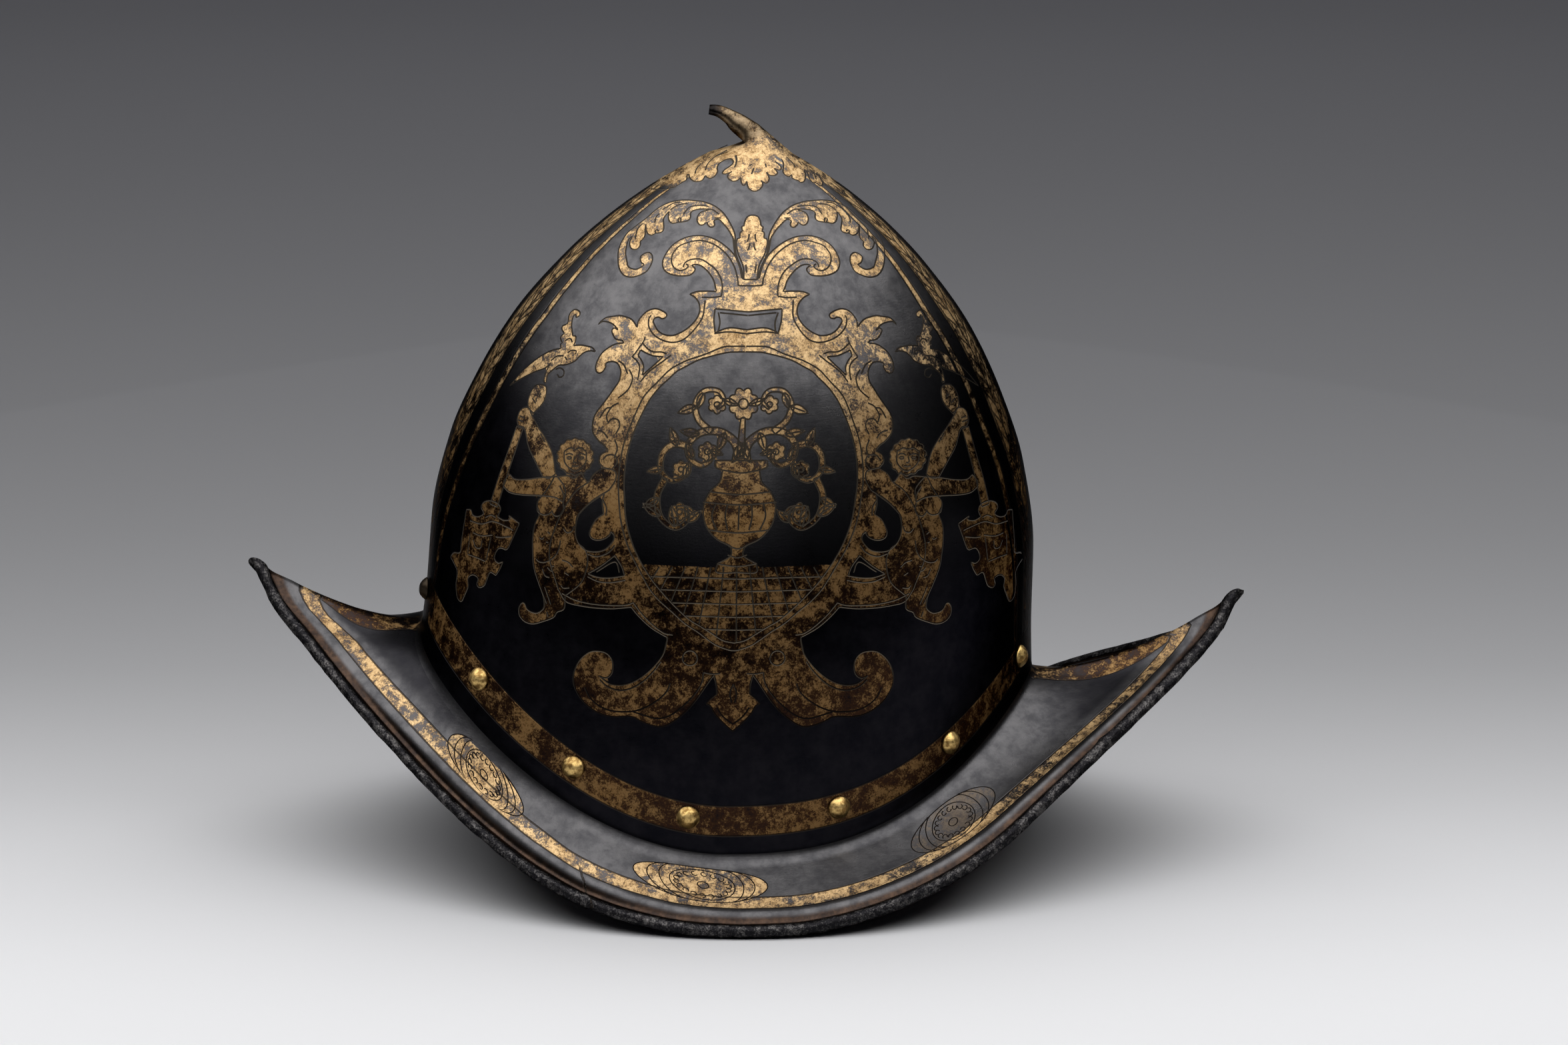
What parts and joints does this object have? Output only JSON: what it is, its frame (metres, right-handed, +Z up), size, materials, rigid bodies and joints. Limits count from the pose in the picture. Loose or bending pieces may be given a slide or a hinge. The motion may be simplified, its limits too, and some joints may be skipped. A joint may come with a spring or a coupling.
{
  "type": "morion helmet",
  "caption": "Tall pointed open helmet with a keel crease, a brim sweeping up to sharp tips at front and rear, a turned edge, a curled stalk and domed lining rivets.",
  "frame": {"origin": "middle of the footprint's box, on the surface that the brim rests on", "axes": "+X towards the wearer's face and the front tip, +Y towards the wearer's left hand, +Z up"},
  "size_m": [0.3716, 0.2434, 0.2781],
  "materials": {
    "blackened_steel": "blackened forged steel, worn grey, with patchy gilding in etched bands",
    "gilt_brass": "hammered domed heads, rubbed bright on top"
  },
  "bodies": {
    "root": {"helmet_shell": "blackened_steel", "rivet_01": "gilt_brass", "rivet_02": "gilt_brass", "rivet_03": "gilt_brass", "rivet_04": "gilt_brass", "rivet_05": "gilt_brass", "rivet_06": "gilt_brass", "rivet_07": "gilt_brass", "rivet_08": "gilt_brass", "rivet_09": "gilt_brass", "rivet_10": "gilt_brass", "rivet_11": "gilt_brass", "rivet_12": "gilt_brass", "rivet_13": "gilt_brass", "rivet_14": "gilt_brass"}
  },
  "joints": []
}
